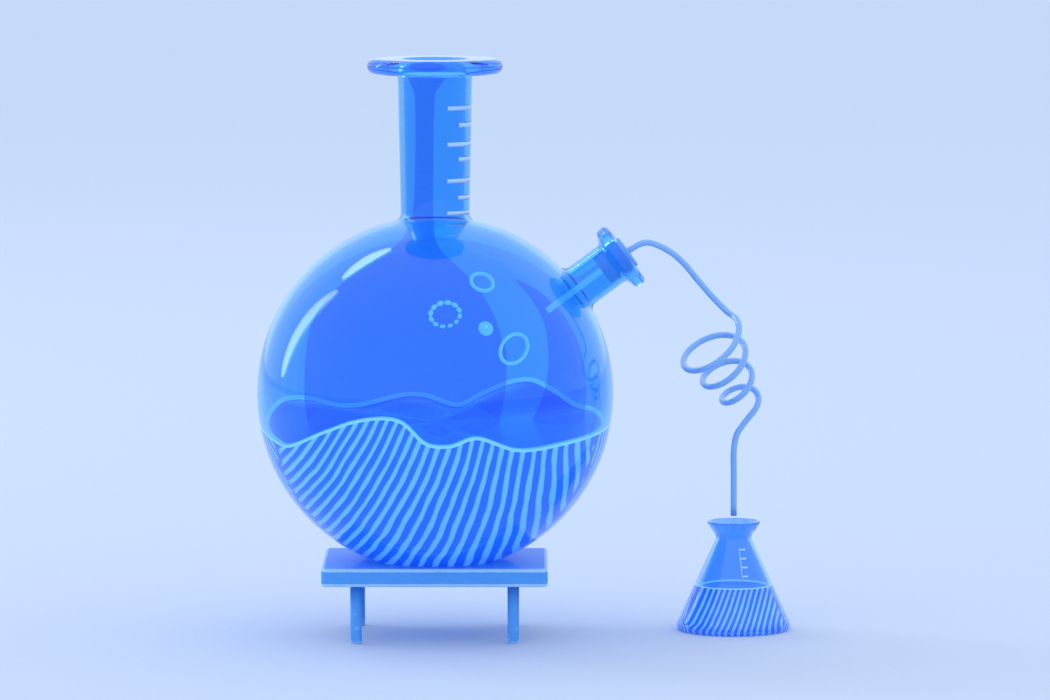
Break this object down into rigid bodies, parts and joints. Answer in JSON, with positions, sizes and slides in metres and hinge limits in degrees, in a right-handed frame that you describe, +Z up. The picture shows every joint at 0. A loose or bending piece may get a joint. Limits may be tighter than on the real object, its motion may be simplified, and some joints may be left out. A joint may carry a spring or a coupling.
{
  "type": "boiling flask on a stand with a delivery tube and receiver flask",
  "caption": "Round-bottomed flask with a side neck on a low four-legged stand; a coiled glass tube leads from the side neck to a small conical receiver flask.",
  "frame": {"origin": "on the bench, under the middle of the whole apparatus", "axes": "+Z up, +X from the big flask towards the receiver, +Y away from the viewer of the picture"},
  "size_m": [0.2506, 0.1668, 0.2703],
  "materials": {
    "stand_paint": "satin paint",
    "blue_glass": "clear, faintly blue",
    "tube_glass": "clear, light blue",
    "blue_liquid": "still liquid, glossy",
    "stopper_rubber": "matt rubber"
  },
  "bodies": {
    "stand": {"stand_board": "stand_paint", "stand_leg_front_left": "stand_paint", "stand_leg_front_right": "stand_paint", "stand_leg_back_left": "stand_paint", "stand_leg_back_right": "stand_paint"},
    "flask": {"flask_bulb": "blue_glass", "flask_main_neck": "blue_glass", "flask_side_neck": "blue_glass", "flask_liquid": "blue_liquid"},
    "tube": {"side_neck_stopper": "stopper_rubber", "delivery_tube": "tube_glass"},
    "receiver": {"receiver_glass": "blue_glass", "receiver_liquid": "blue_liquid"}
  },
  "joints": [
    {"name": "flask_lift", "type": "slide", "parent": "stand", "child": "flask", "axis": [0, 0, 1], "range_m": [0, 0.12]},
    {"name": "tube_draw", "type": "slide", "parent": "flask", "child": "tube", "axis": [0.8039, 0, 0.5948], "range_m": [0, 0.06]},
    {"name": "receiver_away", "type": "slide", "parent": "stand", "child": "receiver", "axis": [1, 0, 0], "range_m": [0, 0.08]}
  ]
}
